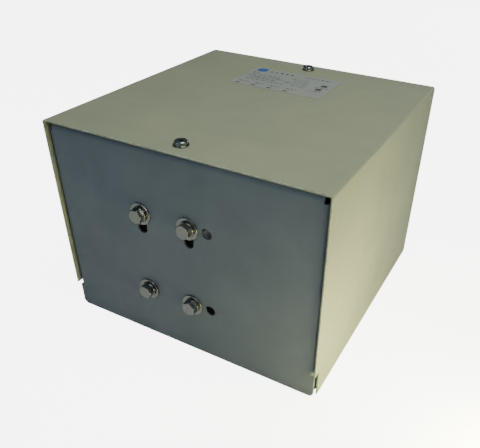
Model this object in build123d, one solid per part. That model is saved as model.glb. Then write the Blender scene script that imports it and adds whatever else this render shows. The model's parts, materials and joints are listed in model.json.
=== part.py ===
from build123d import *
import math
import os

# Variable autotransformer in a folded sheet-metal case. Millimetres, +Z up.
# Origin: middle of the underside. The bolted panel faces -Y, the control knob faces +Y.

# ---- case ----
case_width = 210.0
case_depth = 210.0
case_height = 158.0
cover_sheet = 1.2
cover_bend = 2.0          # outer radius of the cover's two folds
chassis_sheet = 1.5       # panels and floor pan
chassis_bend = 4.0        # outer radius of their folds
side_gap = 0.3            # chassis to cover, each side
top_gap = 1.0             # chassis to the underside of the cover
panel_recess = 2.0        # cover edge stands this far in front of each panel
notch_height = 22.0       # cut in the front lower corner of each cover side
notch_depth = 6.0
top_flange = 22.0
side_flange = 12.0        # vertical flanges behind each panel
floor_flange = 18.0       # height of the floor pan's turned-up edges
bend_relief = 1.0         # gap left where two folds meet at a corner

# ---- cover fasteners and label ----
cover_screw_x = -1.0
cover_screw_inset = 13.0  # from the cover's front and back edges
cover_screw_r = 2.1
cover_screw_length = 12.0
cover_head_r = 4.4
cover_head_height = 2.6
cross_length = 5.0        # cross slot in the head
cross_width = 1.1
cross_depth = 1.4
cover_flange_r = 5.2      # washer face under the head
cover_flange_thickness = 0.8
clip_sheet = 0.8
clip_width = 14.0
clip_length = 17.0
clip_collar_r = 4.0
clip_collar_height = 3.0
head_round_share = 0.45   # rounding of the screw head, as a share of its height
label_width = 78.0
label_depth = 48.0
label_thickness = 0.3
label_x = -1.8
label_inset = 28.5        # back edge of the cover to back edge of the label
label_corner = 2.0

# ---- bolted panel ----
axis_x = -11.5            # control axis and middle of the bolt pattern
axis_z = 74.8
bolt_spacing_x = 38.0
bolt_spacing_z = 63.5
spare_offset = 14.4       # spare hole beyond the right-hand bolts
panel_hole_r = 4.0
slot_travel = 11.4
bolt_r = 3.175
bolt_af = 9.525
bolt_head_height = 3.6
bolt_turn = 11.0          # each bolt is left turned a little further than the last
bolt_grip = 9.0           # thread held in the casting's boss
flat_washer_r = 8.2
flat_washer_thickness = 1.3
flat_washer_gap = 0.2     # bolt in its washer, on the radius
lock_washer_r = 5.9
lock_washer_thickness = 1.5
lock_washer_gap = 0.1
lock_washer_split = 1.0

# ---- fits ----
running_gap = 0.05        # shaft in a bearing, on the radius
seat_gap = 0.05           # screw or bush in its hole, on the radius
nest_gap = 0.1            # one ring inside another
press_gap = 0.02          # pressed or clamped piece on its shaft, on the radius
clear_gap = 0.3           # moving piece past a fixed one

# ---- variable transformer ----
boss_height = 8.0
boss_r = 8.0
base_r = 58.0
base_thickness = 5.0
base_window_r = 9.0
base_window_ring = 42.0
ear_root_share = 0.7      # where the ear starts, as a share of the plate's radius
hub_r = 12.0
hub_length = 20.0
ear_reach = 90.0          # from the axis to the ear's outer edge
ear_height = 62.0
insulator_thickness = 2.0
insulator_width = 20.0
insulator_inset = 5.0     # inside the core's outer edge
core_outer_r = 61.0
core_inner_r = 31.0
core_length = 40.0
cap_wall = 1.5
wire_layer = 2.0
winding_round = 2.5
winding_gap_deg = 36.0
track_inner_r = 42.0
track_outer_r = 50.0
track_thickness = 0.3
clamp_r = 38.0
clamp_thickness = 4.0
clamp_hub_r = 11.0
clamp_hub_length = 6.0
clamp_screw_ring = 20.0
clamp_screw_angles = (90, 210, 330)
clamp_screw_r = 2.0
clamp_head_r = 3.6
clamp_head_height = 2.2
slot_width = 0.8          # straight slot in each small screw head
slot_share = 0.4          # its depth, as a share of the head
bush_r = 7.0
stop_pin_r = 2.5
stop_ring = 33.0
stop_clearance = 0.2
brush_margin_deg = 4.0    # winding left beyond the brush at each end

# ---- control ----
shaft_r = 4.75
shaft_start_gap = 1.0     # shaft end to the bolted panel
shaft_end_gap = 0.4       # between the two shafts, inside the coupling
shaft_chamfer = 0.5
collector_r = 8.5
contact_gap = 0.1
contact_sheet = 0.5
contact_width = 8.0
contact_foot = 14.0
contact_screw_inset = 6.0
contact_screw_r = 1.5
contact_screw_grip = 2.5
contact_head_r = 2.8
contact_head_height = 1.8
collector_length = 5.0
hub_play = 0.5
arm_hub_r = 11.0
arm_hub_length = 11.0
arm_thickness = 3.0
arm_rise = 5.0            # hub foot to the arm's near face
arm_disc_r = 24.0
arm_half_width = 6.0
arm_tip_r = 55.0
arm_screw_r = 1.0
holder_radial = 12.0
holder_across = 8.0
holder_wall = 1.9
holder_foot_gap = 1.2     # holder to the winding
holder_rise = 1.0         # holder above the arm
holder_cap = 1.0
brush_length = 7.5
brush_track_gap = 0.05
spring_wire_r = 0.3
spring_turns = 5
coupling_r = 9.5
coupling_length = 30.0
coupling_start = 2.0      # gap from the arm's hub
coupling_chamfer = 0.8
coupling_screw_inset = 6.0
coupling_screw_sink = 0.4 # set screw below the sleeve's surface
set_screw_r = 2.0
bushing_r = 6.35
bushing_flange_r = 9.5
bushing_flange = 2.0
bushing_nut_af = 17.5
bushing_nut_thickness = 3.0
bushing_proud = 1.0
dial_size = 92.0
dial_corner = 5.0
dial_thickness = 1.0
dial_screw_pitch = 80.0
dial_screw_r = 1.5
dial_head_r = 2.8
dial_head_height = 1.6
dial_nut_af = 5.5
dial_nut_thickness = 2.4
knob_skirt_r = 25.0
knob_skirt_height = 3.0
knob_grip_r = 18.0
knob_tip_r = 15.5
knob_height = 22.0
knob_flutes = 12
knob_flute_r = 2.2
knob_flute_shift = 0.6    # flute centres outside the grip's foot
knob_edge_chamfer = 1.0
knob_tip_round = 1.5
knob_gap = 1.0            # knob to the end of the bushing
knob_bore_depth = 16.0
knob_screw_rise = 4.5     # set screw above the skirt
knob_screw_reach = 10.0
index_width = 1.6
index_depth = 0.6
index_start = 3.0         # face bar, from the axis
index_end_gap = 1.5       # its other end, from the edge of the knob's face
index_rim_gap = 1.0       # skirt bar to the skirt's edge

# ---- wiring ----
entry_x = 70.0
entry_low_z = 45.0
entry_spacing = 52.0
entry_bore_r = 7.5
entry_body_r = 10.8
entry_flange_r = 14.5
entry_flange = 3.5
entry_nut_af = 27.0
entry_nut_thickness = 3.0
entry_length = 16.0
entry_round = 1.5
board_thickness = 2.5
board_width = 18.0
board_screw_inset = 4.0
board_height = 56.0
tab_spacing = 13.0
tab_width = 10.0
tab_height = 9.0
tab_thickness = 1.0
tab_screw_r = 1.75
tab_head_r = 3.0
tab_head_height = 2.2
lug_rim = 0.4
lug_head_gap = 0.4
lug_tongue = 2.6
lug_bore = 4.0
lug_thickness = 0.8
lug_barrel_r = 1.8
lug_barrel_length = 6.0
lead_r = 1.3
tap_r = 1.0
block_x = 66.0
block_y = 24.0
block_width = 26.0
block_base_height = 12.0
block_barrier_height = 6.0
block_barrier = 2.0
block_pitch = 14.0
block_poles = 4
block_ear = 8.0
block_screw_r = 2.0
block_blind = 2.0         # moulding left under the pole screws' holes
pole_plate_width = 18.0
pole_plate_depth = 9.0
pole_screw_spacing = 10.0
lane_start = 14.0         # first lead, beyond the lugs it ends at
lane_gap = 3.5            # between neighbouring leads
bend_share = 0.45         # arc, as a share of the shorter run beside it
earth_drop_y = 14.0       # where the earth lead starts down
earth_drop_z = 3.0
earth_lie = 7.0           # its last straight run
brush_lead_foot = 2.0     # brush lead's start, from the end of the contact's foot
brush_lead_run = 12.0
brush_lead_side = 18.0
brush_lead_lift = 17.0
brush_lead_crest = 6.0    # above the casting's ear
brush_lead_lap = 0.8      # end of the bared wire on the tab
tap_depth = 7.0           # where the taps leave the winding, behind its front
tap_angle_share = 0.94
tap_run = 9.0
tap_drift = 3.0
tap_lap = 1.2
tap_lie = 5.0
tap_lie_drift = 1.5
stud_side_inset = 12.5    # from the case side
stud_inset = 19.5         # from the inside of the control panel
stud_r = 2.4
stud_height = 16.0
stud_nut_af = 8.0
stud_nut_thickness = 3.5

# ---- derived places ----
cover_front = -case_depth / 2
panel_y = cover_front + panel_recess
panel_in = panel_y + chassis_sheet
back_y = -panel_y
back_in = -panel_in
chassis_half = case_width / 2 - cover_sheet - side_gap
chassis_top = case_height - cover_sheet - top_gap
flange_under = chassis_top - chassis_sheet
screw_ys = (cover_front + cover_screw_inset, -cover_front - cover_screw_inset)
bolt_xs = (axis_x - bolt_spacing_x / 2, axis_x + bolt_spacing_x / 2)
low_row = axis_z - bolt_spacing_z / 2
high_row = axis_z + bolt_spacing_z / 2
spare_x = bolt_xs[1] + spare_offset

base_front = panel_in + boss_height
base_back = base_front + base_thickness
winding_front = base_back + insulator_thickness
shell = cap_wall + wire_layer + 2 * nest_gap
winding_outer_r = core_outer_r + shell
winding_inner_r = core_inner_r - shell
winding_back = winding_front + core_length + 2 * shell
clamp_back = winding_back + clamp_thickness
arm_foot = clamp_back + hub_play
arm_near = arm_foot + arm_rise
arm_far = arm_near + arm_thickness
arm_hub_end = arm_foot + arm_hub_length
track_face = winding_back + track_thickness
brush_ring = (track_inner_r + track_outer_r) / 2
coupling_y = arm_hub_end + coupling_start
coupling_end = coupling_y + coupling_length
shaft_split = (coupling_y + coupling_end) / 2
brush_start_deg = winding_gap_deg / 2 + brush_margin_deg
travel_deg = 360.0 - 2 * brush_start_deg
dial_face = back_y + dial_thickness
bushing_end = dial_face + bushing_nut_thickness + bushing_proud
knob_y = bushing_end + knob_gap
knob_end = knob_y + knob_height
index_start_deg = 90.0 - travel_deg / 2   # pointer at the low end of the dial


def block(x0, x1, y0, y1, z0, z1):
    """Box from its lowest and highest corners."""
    middle = Pos((x0 + x1) / 2, (y0 + y1) / 2, (z0 + z1) / 2)
    return middle * Box(x1 - x0, y1 - y0, z1 - z0)


def rod_y(x, z, y0, y1, r):
    """Cylinder along Y."""
    return Pos(x, (y0 + y1) / 2, z) * Rot(90, 0, 0) * Cylinder(r, y1 - y0)


def tube_y(x, z, y0, y1, r_out, r_in):
    """Tube along Y."""
    return rod_y(x, z, y0, y1, r_out) - rod_y(x, z, y0 - 1, y1 + 1, r_in)


def rod_z(x, y, z0, z1, r):
    """Cylinder along Z."""
    return Pos(x, y, (z0 + z1) / 2) * Cylinder(r, z1 - z0)


def tube_z(x, y, z0, z1, r_out, r_in):
    """Tube along Z."""
    return rod_z(x, y, z0, z1, r_out) - rod_z(x, y, z0 - 1, z1 + 1, r_in)


def screw_y(x, z, tip, under, r, head_r, head_height):
    """Slotted screw along Y, its head on the +Y side of the face it bears on."""
    head = rod_y(x, z, under, under + head_height, head_r)
    head -= block(x - head_r, x + head_r, under + head_height * (1 - slot_share), under + head_height,
                  z - slot_width / 2, z + slot_width / 2)
    return rod_y(x, z, tip, under, r) + head


def screw_z(x, y, tip, under, r, head_r, head_height):
    """Slotted screw along Z, its head above the face it bears on."""
    head = rod_z(x, y, under, under + head_height, head_r)
    head -= block(x - head_r, x + head_r, y - slot_width / 2, y + slot_width / 2,
                  under + head_height * (1 - slot_share), under + head_height)
    return rod_z(x, y, tip, under, r) + head


def hex_up(across_flats, height):
    """Hexagon from z=0 up, with its upper corners rounded off by a cone."""
    prism = extrude(RegularPolygon(across_flats / 2, 6, major_radius=False), height)
    corner_r = across_flats / math.sqrt(3) + 0.1
    cap = Pos(0, 0, height / 2) * Cylinder(corner_r, height)
    cap = chamfer(cap.edges().filter_by(GeomType.CIRCLE).sort_by(Axis.Z)[-1:], across_flats * 0.08)
    return prism & cap


def spin(shape, degrees):
    """Turn about the control axis, from +X towards +Z, before it is placed."""
    return shape.rotate(Axis((0, 0, 0), (0, -1, 0)), degrees)


def on_axis(shape):
    """Move a piece modelled about the Y axis onto the control axis."""
    return Pos(axis_x, 0, axis_z) * shape


def sector(r0, r1, y0, y1, rounding, gap_degrees):
    """Ring about the Y axis with a gap centred on +X."""
    face = Pos((r0 + r1) / 2, (y0 + y1) / 2) * Rectangle(r1 - r0, y1 - y0)
    if rounding:
        face = fillet(face.vertices(), rounding)
    return spin(revolve(face, Axis((0, 0, 0), (0, -1, 0)), 360 - gap_degrees), gap_degrees / 2)


def group(solids):
    """Separate solids kept together in one node."""
    return Compound(children=list(solids))


def lead(name, points, radius):
    """Insulated wire along straight runs, with arcs as large as the runs allow."""
    stops = [Vector(*p) for p in points]
    bends = []
    for before, at, after in zip(stops, stops[1:], stops[2:]):
        turn = (at - before).get_angle(after - at)
        run = min((at - before).length, (after - at).length)
        bends.append(bend_share * run / math.tan(math.radians(turn / 2)))
    path = FilletPolyline(*stops, radius=bends) if bends else Polyline(*stops)
    start = Plane(origin=path @ 0, z_dir=path % 0)
    wire = sweep(start * Circle(radius), path)
    expected = math.pi * radius ** 2 * path.length
    print(name, "bend radii", [round(b, 1) for b in bends],
          "volume", round(wire.volume, 1), "section x length", round(expected, 1))
    return wire


# ---- case pieces ----
def shell_ring(width, height):
    """Outline of a sheet folded into a rounded rectangle."""
    walls = 2 * chassis_sheet
    hollow = RectangleRounded(width - walls, height - walls, chassis_bend - chassis_sheet)
    return RectangleRounded(width, height, chassis_bend) - hollow


def blank_panel():
    """Panel at -Y before its holes: flat, with flanges folded back from its top and sides."""
    flat_half = chassis_half - chassis_bend
    foot = floor_flange + bend_relief
    folded_top = extrude(Plane.YZ * shell_ring(2 * back_y, 2 * chassis_top), flat_half, both=True)
    body = folded_top & block(-chassis_half, chassis_half, panel_y, panel_y + top_flange,
                              foot, chassis_top)
    folded_sides = extrude(Plane.XY.offset(foot) * shell_ring(2 * chassis_half, 2 * back_y),
                           chassis_top - chassis_bend - bend_relief - foot)
    body += folded_sides & block(-chassis_half, chassis_half, panel_y, panel_y + side_flange,
                                 foot, chassis_top)
    skirt = Pos(0, foot / 2) * Rectangle(2 * chassis_half, foot)
    skirt = fillet(skirt.vertices().group_by(Axis.Y)[0], chassis_bend)
    body += extrude(Plane.XZ.offset(-panel_in) * skirt, chassis_sheet)
    return body


def make_mounting_panel():
    """Panel that the transformer is bolted to, with two slots, two round holes and two spare holes."""
    body = blank_panel()
    for x in bolt_xs:
        body -= rod_y(x, low_row, panel_y - 1, panel_in + 1, panel_hole_r)
        for z in (high_row, high_row - slot_travel):
            body -= rod_y(x, z, panel_y - 1, panel_in + 1, panel_hole_r)
        body -= block(x - panel_hole_r, x + panel_hole_r, panel_y - 1, panel_in + 1,
                      high_row - slot_travel, high_row)
    for z in (low_row, high_row):
        body -= rod_y(spare_x, z, panel_y - 1, panel_in + 1, panel_hole_r)
    return body - cover_screw_hole(screw_ys[0])


def make_control_panel():
    """Panel with the dial, the shaft's bushing and the two cable entries."""
    body = Rot(0, 0, 180) * blank_panel()
    body -= rod_y(axis_x, axis_z, back_in - 1, back_y + 1, bushing_r + seat_gap)
    for x, z in dial_corners():
        body -= rod_y(x, z, back_in - 1, back_y + 1, dial_screw_r + seat_gap)
    for z in entry_heights():
        body -= rod_y(entry_x, z, back_in - 1, back_y + 1, entry_body_r + seat_gap)
    return body - cover_screw_hole(screw_ys[1])


def cover_screw_hole(y):
    """Hole in a top flange for the collar of a clip nut."""
    return rod_z(cover_screw_x, y, flange_under - 1, chassis_top + 1, clip_collar_r + seat_gap)


def make_floor_pan():
    """Shallow tray between the panels, its turned-up ends spot-welded to them."""
    reach_x = chassis_half - chassis_bend - bend_relief
    reach_y = back_in - chassis_bend - bend_relief
    below = block(-chassis_half, chassis_half, panel_in, back_in, 0, floor_flange)
    tall = 2 * chassis_top
    across = Pos(0, chassis_top) * shell_ring(2 * chassis_half, tall)
    along = Pos(0, chassis_top) * shell_ring(2 * back_in, tall)
    body = extrude(Plane.XZ * across, reach_y, both=True) & below
    body += extrude(Plane.YZ * along, reach_x, both=True) & below
    for y in block_screw_ys():
        body -= rod_z(block_x, y, -1, chassis_sheet + 1, block_screw_r + seat_gap)
    return body


def dial_corners():
    """Centres of the dial plate's four screws."""
    reach = dial_screw_pitch / 2
    return [(axis_x + sx * reach, axis_z + sz * reach) for sx in (-1, 1) for sz in (-1, 1)]


def block_screw_ys():
    """Places of the terminal block's two fixing screws along Y."""
    reach = (block_poles * block_pitch + block_barrier + block_ear) / 2
    return (block_y - reach, block_y + reach)


def make_cover():
    """Top and two sides folded from one sheet, notched at the front lower corners."""
    outer = Pos(0, case_height / 2) * Rectangle(case_width, case_height)
    outer = fillet(outer.vertices().group_by(Axis.Y)[-1], cover_bend)
    inner = Pos(0, (case_height - cover_sheet) / 2) * Rectangle(
        case_width - 2 * cover_sheet, case_height - cover_sheet)
    inner = fillet(inner.vertices().group_by(Axis.Y)[-1], cover_bend - cover_sheet)
    body = extrude(Plane.XZ * (outer - inner), case_depth / 2, both=True)
    body -= block(-case_width, case_width, cover_front - 1, cover_front + notch_depth, -1, notch_height)
    for y in screw_ys:
        body -= rod_z(cover_screw_x, y, case_height - 2 * cover_sheet, case_height + 1,
                      cover_screw_r + clear_gap)
    return body


def make_cover_screws():
    """Pan-head screws with a washer face, one at each end of the cover."""
    screws = []
    for y in screw_ys:
        head_z = case_height + cover_flange_thickness
        screw = rod_z(cover_screw_x, y, case_height, head_z, cover_flange_r)
        head = rod_z(cover_screw_x, y, head_z, head_z + cover_head_height, cover_head_r)
        rim = head.edges().filter_by(GeomType.CIRCLE).sort_by(Axis.Z)[-1:]
        head = fillet(rim, cover_head_height * head_round_share)
        screw += head
        screw += rod_z(cover_screw_x, y, case_height - cover_screw_length, case_height, cover_screw_r)
        top = head_z + cover_head_height
        for long_x, long_y in ((cross_length, cross_width), (cross_width, cross_length)):
            screw -= block(cover_screw_x - long_x / 2, cover_screw_x + long_x / 2,
                           y - long_y / 2, y + long_y / 2, top - cross_depth, top + 1)
        screws.append(screw)
    return group(screws)


def make_clip_nuts():
    """Spring-steel clips pushed over the top flanges, with a threaded collar."""
    clips = []
    for y, inward in zip(screw_ys, (1, -1)):
        edge = inward * (panel_y + top_flange)
        far = edge + inward * (clip_sheet + nest_gap)
        start = far - inward * clip_length
        x0, x1 = cover_screw_x - clip_width / 2, cover_screw_x + clip_width / 2
        y0, y1 = min(start, far), max(start, far)
        low = flange_under - nest_gap
        clip = block(x0, x1, y0, y1, chassis_top, chassis_top + clip_sheet)
        clip += block(x0, x1, y0, y1, low - clip_sheet, low)
        rim = sorted((edge + inward * nest_gap, far))
        clip += block(x0, x1, rim[0], rim[1], low - clip_sheet, chassis_top + clip_sheet)
        clip += rod_z(cover_screw_x, y, low - clip_sheet - clip_collar_height, low - clip_sheet,
                      clip_collar_r)
        clip -= rod_z(cover_screw_x, y, low - clip_length, chassis_top + 2, cover_screw_r + running_gap)
        clips.append(clip)
    return group(clips)


def make_label():
    """Thin plate bonded to the cover."""
    y_mid = -cover_front - label_inset - label_depth / 2
    plate = extrude(RectangleRounded(label_width, label_depth, label_corner), label_thickness)
    return Pos(label_x, y_mid, case_height) * plate


# ---- bolts through the panel ----
def bolt_places():
    return [(x, z) for x in bolt_xs for z in (low_row, high_row)]


def make_flat_washers():
    back = panel_y - flat_washer_thickness
    return group(tube_y(x, z, back, panel_y, flat_washer_r, bolt_r + flat_washer_gap)
                 for x, z in bolt_places())


def make_lock_washers():
    face = panel_y - flat_washer_thickness
    washers = []
    for x, z in bolt_places():
        ring = tube_y(x, z, face - lock_washer_thickness, face, lock_washer_r, bolt_r + lock_washer_gap)
        split = lock_washer_split / 2
        ring -= block(x - split, x + split, face - 5, face + 5, z, z + 2 * lock_washer_r)
        washers.append(ring)
    return group(washers)


def make_bolts():
    """Hex-head bolts through the panel into the casting."""
    under = panel_y - flat_washer_thickness - lock_washer_thickness
    bolts = []
    for index, (x, z) in enumerate(bolt_places()):
        head = Rot(90, 0, 0) * Rot(0, 0, bolt_turn * index) * hex_up(bolt_af, bolt_head_height)
        bolt = Pos(x, under, z) * head
        bolt += rod_y(x, z, under, panel_in + bolt_grip, bolt_r)
        bolts.append(bolt)
    return group(bolts)


# ---- transformer ----
def make_base():
    """Cast plate with four bosses, a bearing hub and an ear for the terminal board."""
    body = rod_y(0, 0, base_front, base_back, base_r)
    body += block(base_r * ear_root_share, ear_reach, base_front, base_back,
                  -ear_height / 2, ear_height / 2)
    for degrees in (90, 180, 270):
        body -= spin(rod_y(base_window_ring, 0, base_front - 1, base_back + 1, base_window_r), degrees)
    body += rod_y(0, 0, base_front, base_front + hub_length, hub_r)
    for x, z in bolt_places():
        body += rod_y(x - axis_x, z - axis_z, panel_in, base_back, boss_r)
        body -= rod_y(x - axis_x, z - axis_z, panel_in - 1, panel_in + bolt_grip + 1,
                      bolt_r + seat_gap)
    body -= rod_y(0, 0, base_front - 1, base_front + hub_length + 1, bush_r + seat_gap)
    tapped = rod_y(clamp_screw_ring, 0, base_front - 1, base_back + 1, clamp_screw_r + seat_gap)
    for degrees in clamp_screw_angles:
        body -= spin(tapped, degrees)
    body -= rod_y(contact_screw_x(), 0, base_front - 1, base_front + contact_screw_grip + 0.5,
                  contact_screw_r + seat_gap)
    board_mid = board_x() - axis_x
    for side in (-1, 1):
        body -= rod_y(board_mid, side * board_screw_reach(), base_front - 1, base_back + 1,
                      clamp_screw_r + seat_gap)
    return on_axis(body)


def board_x():
    """Middle of the terminal board, at the outer end of the casting's ear."""
    return axis_x + ear_reach - board_width / 2


def board_screw_reach():
    return board_height / 2 - board_screw_inset


def make_insulator():
    outer = core_outer_r - insulator_inset
    return on_axis(tube_y(0, 0, base_back, winding_front, outer, outer - insulator_width))


def make_core():
    front = winding_front + shell
    return on_axis(tube_y(0, 0, front, front + core_length, core_outer_r, core_inner_r))


def make_core_caps():
    """Two moulded channel rings that cover the core, meeting at its middle."""
    y0 = winding_front + wire_layer + nest_gap
    y1 = winding_back - wire_layer - nest_gap
    middle = (y0 + y1) / 2
    skin = nest_gap + cap_wall
    hollow = tube_y(0, 0, y0 + cap_wall, y1 - cap_wall, core_outer_r + nest_gap, core_inner_r - nest_gap)
    halves = []
    for start, end in ((y0, middle), (middle, y1)):
        ring = tube_y(0, 0, start, end, core_outer_r + skin, core_inner_r - skin)
        halves.append(on_axis(ring - hollow))
    return group(halves)


def make_winding():
    """One layer of wire round the ring, left open over the gap."""
    body = sector(winding_inner_r, winding_outer_r, winding_front, winding_back,
                  winding_round, winding_gap_deg)
    body -= tube_y(0, 0, winding_front + wire_layer, winding_back - wire_layer,
                   winding_outer_r - wire_layer, winding_inner_r + wire_layer)
    return on_axis(body)


def make_track():
    """Band where the turns are bared for the brush."""
    return on_axis(sector(track_inner_r, track_outer_r, winding_back, track_face, 0, winding_gap_deg))


def make_clamp():
    """Moulded plate over the winding's bore, with the second bearing."""
    body = rod_y(0, 0, winding_back, clamp_back, clamp_r)
    body += rod_y(0, 0, winding_back - clamp_hub_length, winding_back, clamp_hub_r)
    body -= rod_y(0, 0, winding_back - 50, clamp_back + 1, bush_r + seat_gap)
    drilled = rod_y(clamp_screw_ring, 0, winding_back - 1, clamp_back + 1, clamp_screw_r + seat_gap)
    for degrees in clamp_screw_angles:
        body -= spin(drilled, degrees)
    for degrees in stop_angles():
        socket = rod_y(stop_ring, 0, winding_back - 1, clamp_back + 1, stop_pin_r + seat_gap)
        body -= spin(socket, degrees)
    return on_axis(body)


def stop_angles():
    """Angles of the two stop pins, each a hair short of the arm at its limit."""
    reach = math.degrees(math.asin((arm_half_width + stop_pin_r + stop_clearance) / stop_ring))
    angle = brush_start_deg - reach
    return (angle, -angle)


def make_stop_pins():
    pins = (spin(rod_y(stop_ring, 0, winding_back, arm_far, stop_pin_r), a) for a in stop_angles())
    return group(on_axis(pin) for pin in pins)


def make_clamp_screws():
    screw = screw_y(clamp_screw_ring, 0, base_front, clamp_back,
                    clamp_screw_r, clamp_head_r, clamp_head_height)
    return group(on_axis(spin(screw, degrees)) for degrees in clamp_screw_angles)


def make_front_bush():
    return on_axis(tube_y(0, 0, base_front, base_front + hub_length, bush_r, shaft_r + running_gap))


def make_back_bush():
    near = winding_back - clamp_hub_length
    return on_axis(tube_y(0, 0, near, clamp_back, bush_r, shaft_r + running_gap))


# ---- control pieces, drawn with the brush arm along +X and turned to its start ----
def control(shape):
    return on_axis(spin(shape, brush_start_deg))


def make_shaft():
    shaft = rod_y(0, 0, panel_in + shaft_start_gap, shaft_split - shaft_end_gap / 2, shaft_r)
    return on_axis(chamfer(shaft.edges().filter_by(GeomType.CIRCLE), shaft_chamfer))


def make_extension():
    end = knob_y + knob_bore_depth - shaft_end_gap
    shaft = rod_y(0, 0, shaft_split + shaft_end_gap / 2, end, shaft_r)
    return on_axis(chamfer(shaft.edges().filter_by(GeomType.CIRCLE), shaft_chamfer))


def make_collector():
    """Brass collar on the shaft's end; the contact spring rides on it."""
    end = base_front - hub_play
    return on_axis(tube_y(0, 0, end - collector_length, end, collector_r, shaft_r + press_gap))


def make_arm():
    """Cast disc and arm that carry the brush and spread its heat."""
    body = rod_y(0, 0, arm_foot, arm_hub_end, arm_hub_r)
    body += rod_y(0, 0, arm_near, arm_far, arm_disc_r)
    body += block(0, arm_tip_r, arm_near, arm_far, -arm_half_width, arm_half_width)
    body -= rod_y(0, 0, arm_foot - 1, arm_hub_end + 1, shaft_r + press_gap)
    gap = seat_gap
    body -= block(brush_ring - holder_radial / 2 - gap, brush_ring + holder_radial / 2 + gap,
                  arm_near - 1, arm_far + 1, -holder_across / 2 - gap, holder_across / 2 + gap)
    body -= arm_screw_shape(seat_gap)
    return control(body)


def arm_screw_shape(gap):
    """Set screw along -X, through the arm's hub between the disc and its end."""
    y = (arm_far + arm_hub_end) / 2
    length = arm_hub_r - shaft_r
    middle = Pos(-(shaft_r + arm_hub_r) / 2, y, 0)
    return middle * Rot(0, 90, 0) * Cylinder(arm_screw_r + gap, length + 2 * gap)


def arm_screw():
    slot = Pos(-arm_hub_r, (arm_far + arm_hub_end) / 2, 0)
    slot *= Box(2 * slot_width, slot_width / 2, 4 * arm_screw_r)
    return control(arm_screw_shape(-press_gap) - slot)


def holder_span():
    return winding_back + holder_foot_gap, arm_far + holder_rise


def make_holder():
    y0, y1 = holder_span()
    half = holder_radial / 2
    body = block(brush_ring - half, brush_ring + half, y0, y1, -holder_across / 2, holder_across / 2)
    body -= block(brush_ring - half + holder_wall, brush_ring + half - holder_wall, y0 - 1, y1 + 1,
                  -holder_across / 2 + holder_wall, holder_across / 2 - holder_wall)
    return control(body)


def make_holder_cap():
    y0 = holder_span()[1]
    half = holder_radial / 2
    return control(block(brush_ring - half, brush_ring + half, y0, y0 + holder_cap,
                         -holder_across / 2, holder_across / 2))


def make_brush():
    """Carbon block that slides in the holder and rests on the track."""
    y0 = track_face + brush_track_gap
    half = holder_radial / 2 - holder_wall - seat_gap
    side = holder_across / 2 - holder_wall - seat_gap
    return control(block(brush_ring - half, brush_ring + half, y0, y0 + brush_length, -side, side))


def make_brush_spring():
    """Coil spring between the brush and the holder's cap."""
    y0 = track_face + brush_track_gap + brush_length
    y1 = holder_span()[1]
    coil_r = holder_across / 2 - holder_wall - seat_gap - 2 * spring_wire_r
    height = y1 - y0 - 2 * spring_wire_r
    path = Helix(pitch=height / spring_turns, height=height, radius=coil_r)
    coil = sweep(Plane(origin=path @ 0, z_dir=path % 0) * Circle(spring_wire_r), path)
    coil = Rot(-90, 0, 0) * coil
    return control(Pos(brush_ring, y0 + spring_wire_r, 0) * coil)


def make_coupling():
    body = tube_y(0, 0, coupling_y, coupling_end, coupling_r, shaft_r + press_gap)
    rims = body.edges().filter_by(GeomType.CIRCLE).group_by(lambda e: round(e.radius, 1))[-1]
    body = chamfer(rims, coupling_chamfer)
    for place in coupling_screw_places():
        body -= place * Cylinder(set_screw_r + seat_gap, coupling_r)
    return control(body)


def coupling_screw_places():
    """Four radial screws, two on each shaft, in two rows at right angles."""
    places = []
    for y in (coupling_y + coupling_screw_inset, coupling_end - coupling_screw_inset):
        for degrees in (90, 180):
            turn = Rot(0, -degrees, 0)
            places.append(turn * Pos(shaft_r + coupling_r / 2, y, 0) * Rot(0, 90, 0))
    return places


def coupling_screws():
    length = coupling_r - shaft_r - coupling_screw_sink
    screws = []
    for place in coupling_screw_places():
        middle = Pos(0, 0, length / 2 - coupling_r / 2)
        socket = Pos(0, 0, length / 2) * Cylinder(set_screw_r / 2, 1.2 * set_screw_r)
        screws.append(control(place * middle * (Cylinder(set_screw_r, length) - socket)))
    return screws


def make_set_screws():
    """Headless screws that hold the arm, the coupling and the knob on the shafts."""
    return group([arm_screw(), *coupling_screws(), knob_screw()])


# ---- control panel ----
def make_bushing():
    body = rod_y(0, 0, back_in - bushing_flange, back_in, bushing_flange_r)
    body += rod_y(0, 0, back_in, bushing_end, bushing_r)
    body -= rod_y(0, 0, back_in - 9, bushing_end + 1, shaft_r + running_gap)
    return on_axis(body)


def nut_y(x, z, y0, across_flats, thickness, bore_r):
    """Hex nut whose rounded face points to +Y."""
    nut = Pos(x, y0, z) * Rot(-90, 0, 0) * hex_up(across_flats, thickness)
    return nut - rod_y(x, z, y0 - 1, y0 + thickness + 1, bore_r)


def make_bushing_nut():
    return nut_y(axis_x, axis_z, dial_face, bushing_nut_af, bushing_nut_thickness, bushing_r + seat_gap)


def make_dial():
    plate = RectangleRounded(dial_size, dial_size, dial_corner)
    body = Pos(axis_x, dial_face, axis_z) * Rot(90, 0, 0) * extrude(plate, dial_thickness)
    body -= rod_y(axis_x, axis_z, back_y - 1, dial_face + 1, bushing_r + seat_gap)
    for x, z in dial_corners():
        body -= rod_y(x, z, back_y - 1, dial_face + 1, dial_screw_r + seat_gap)
    return body


def make_dial_screws():
    tip = back_in - dial_nut_thickness - 1.0
    screws = []
    for x, z in dial_corners():
        screws.append(screw_y(x, z, tip, dial_face, dial_screw_r, dial_head_r, dial_head_height))
    return group(screws)


def make_dial_nuts():
    y0 = back_in - dial_nut_thickness
    return group(nut_y(x, z, y0, dial_nut_af, dial_nut_thickness, dial_screw_r + seat_gap)
                 for x, z in dial_corners())


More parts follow.
